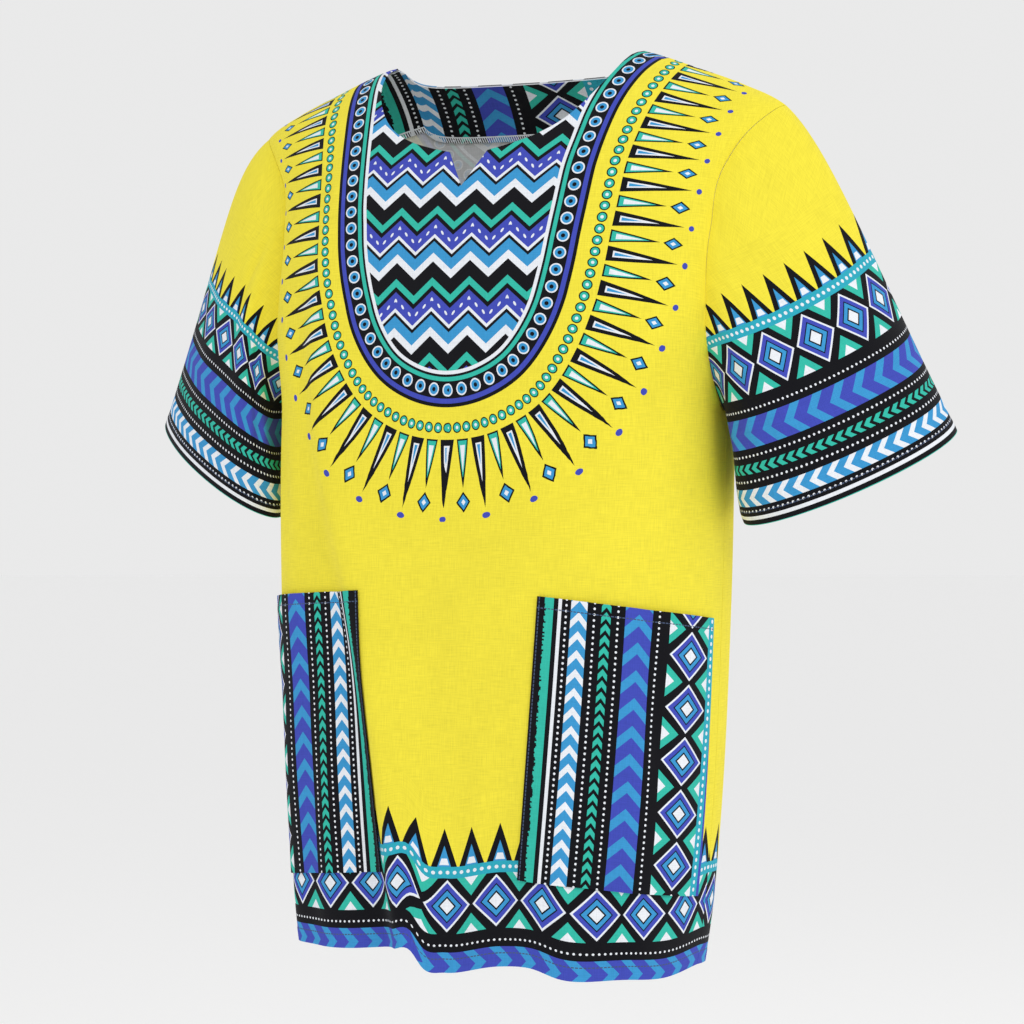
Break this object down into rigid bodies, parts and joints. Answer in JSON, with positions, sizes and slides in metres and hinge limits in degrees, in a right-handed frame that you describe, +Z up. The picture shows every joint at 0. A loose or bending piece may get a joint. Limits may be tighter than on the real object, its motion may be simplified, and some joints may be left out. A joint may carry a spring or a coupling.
{
  "type": "dashiki shirt",
  "caption": "Loose printed cotton pullover shirt in its worn shape, with a round slit neck, wide short sleeves and two patch pockets.",
  "frame": {"origin": "midway between the two points where the neckline meets the shoulder ridge", "axes": "+Z up, +X to the wearer's left, the front of the shirt faces -Y"},
  "size_m": [0.7471, 0.2405, 0.7537],
  "materials": {
    "printed_cotton": "matte plain weave",
    "striped_cotton": "matte plain weave"
  },
  "bodies": {
    "root": {"front": "printed_cotton", "back": "printed_cotton", "sleeve_left": "printed_cotton", "sleeve_right": "printed_cotton", "pocket_left": "striped_cotton", "pocket_right": "striped_cotton", "neck_facing": "striped_cotton"}
  },
  "joints": []
}
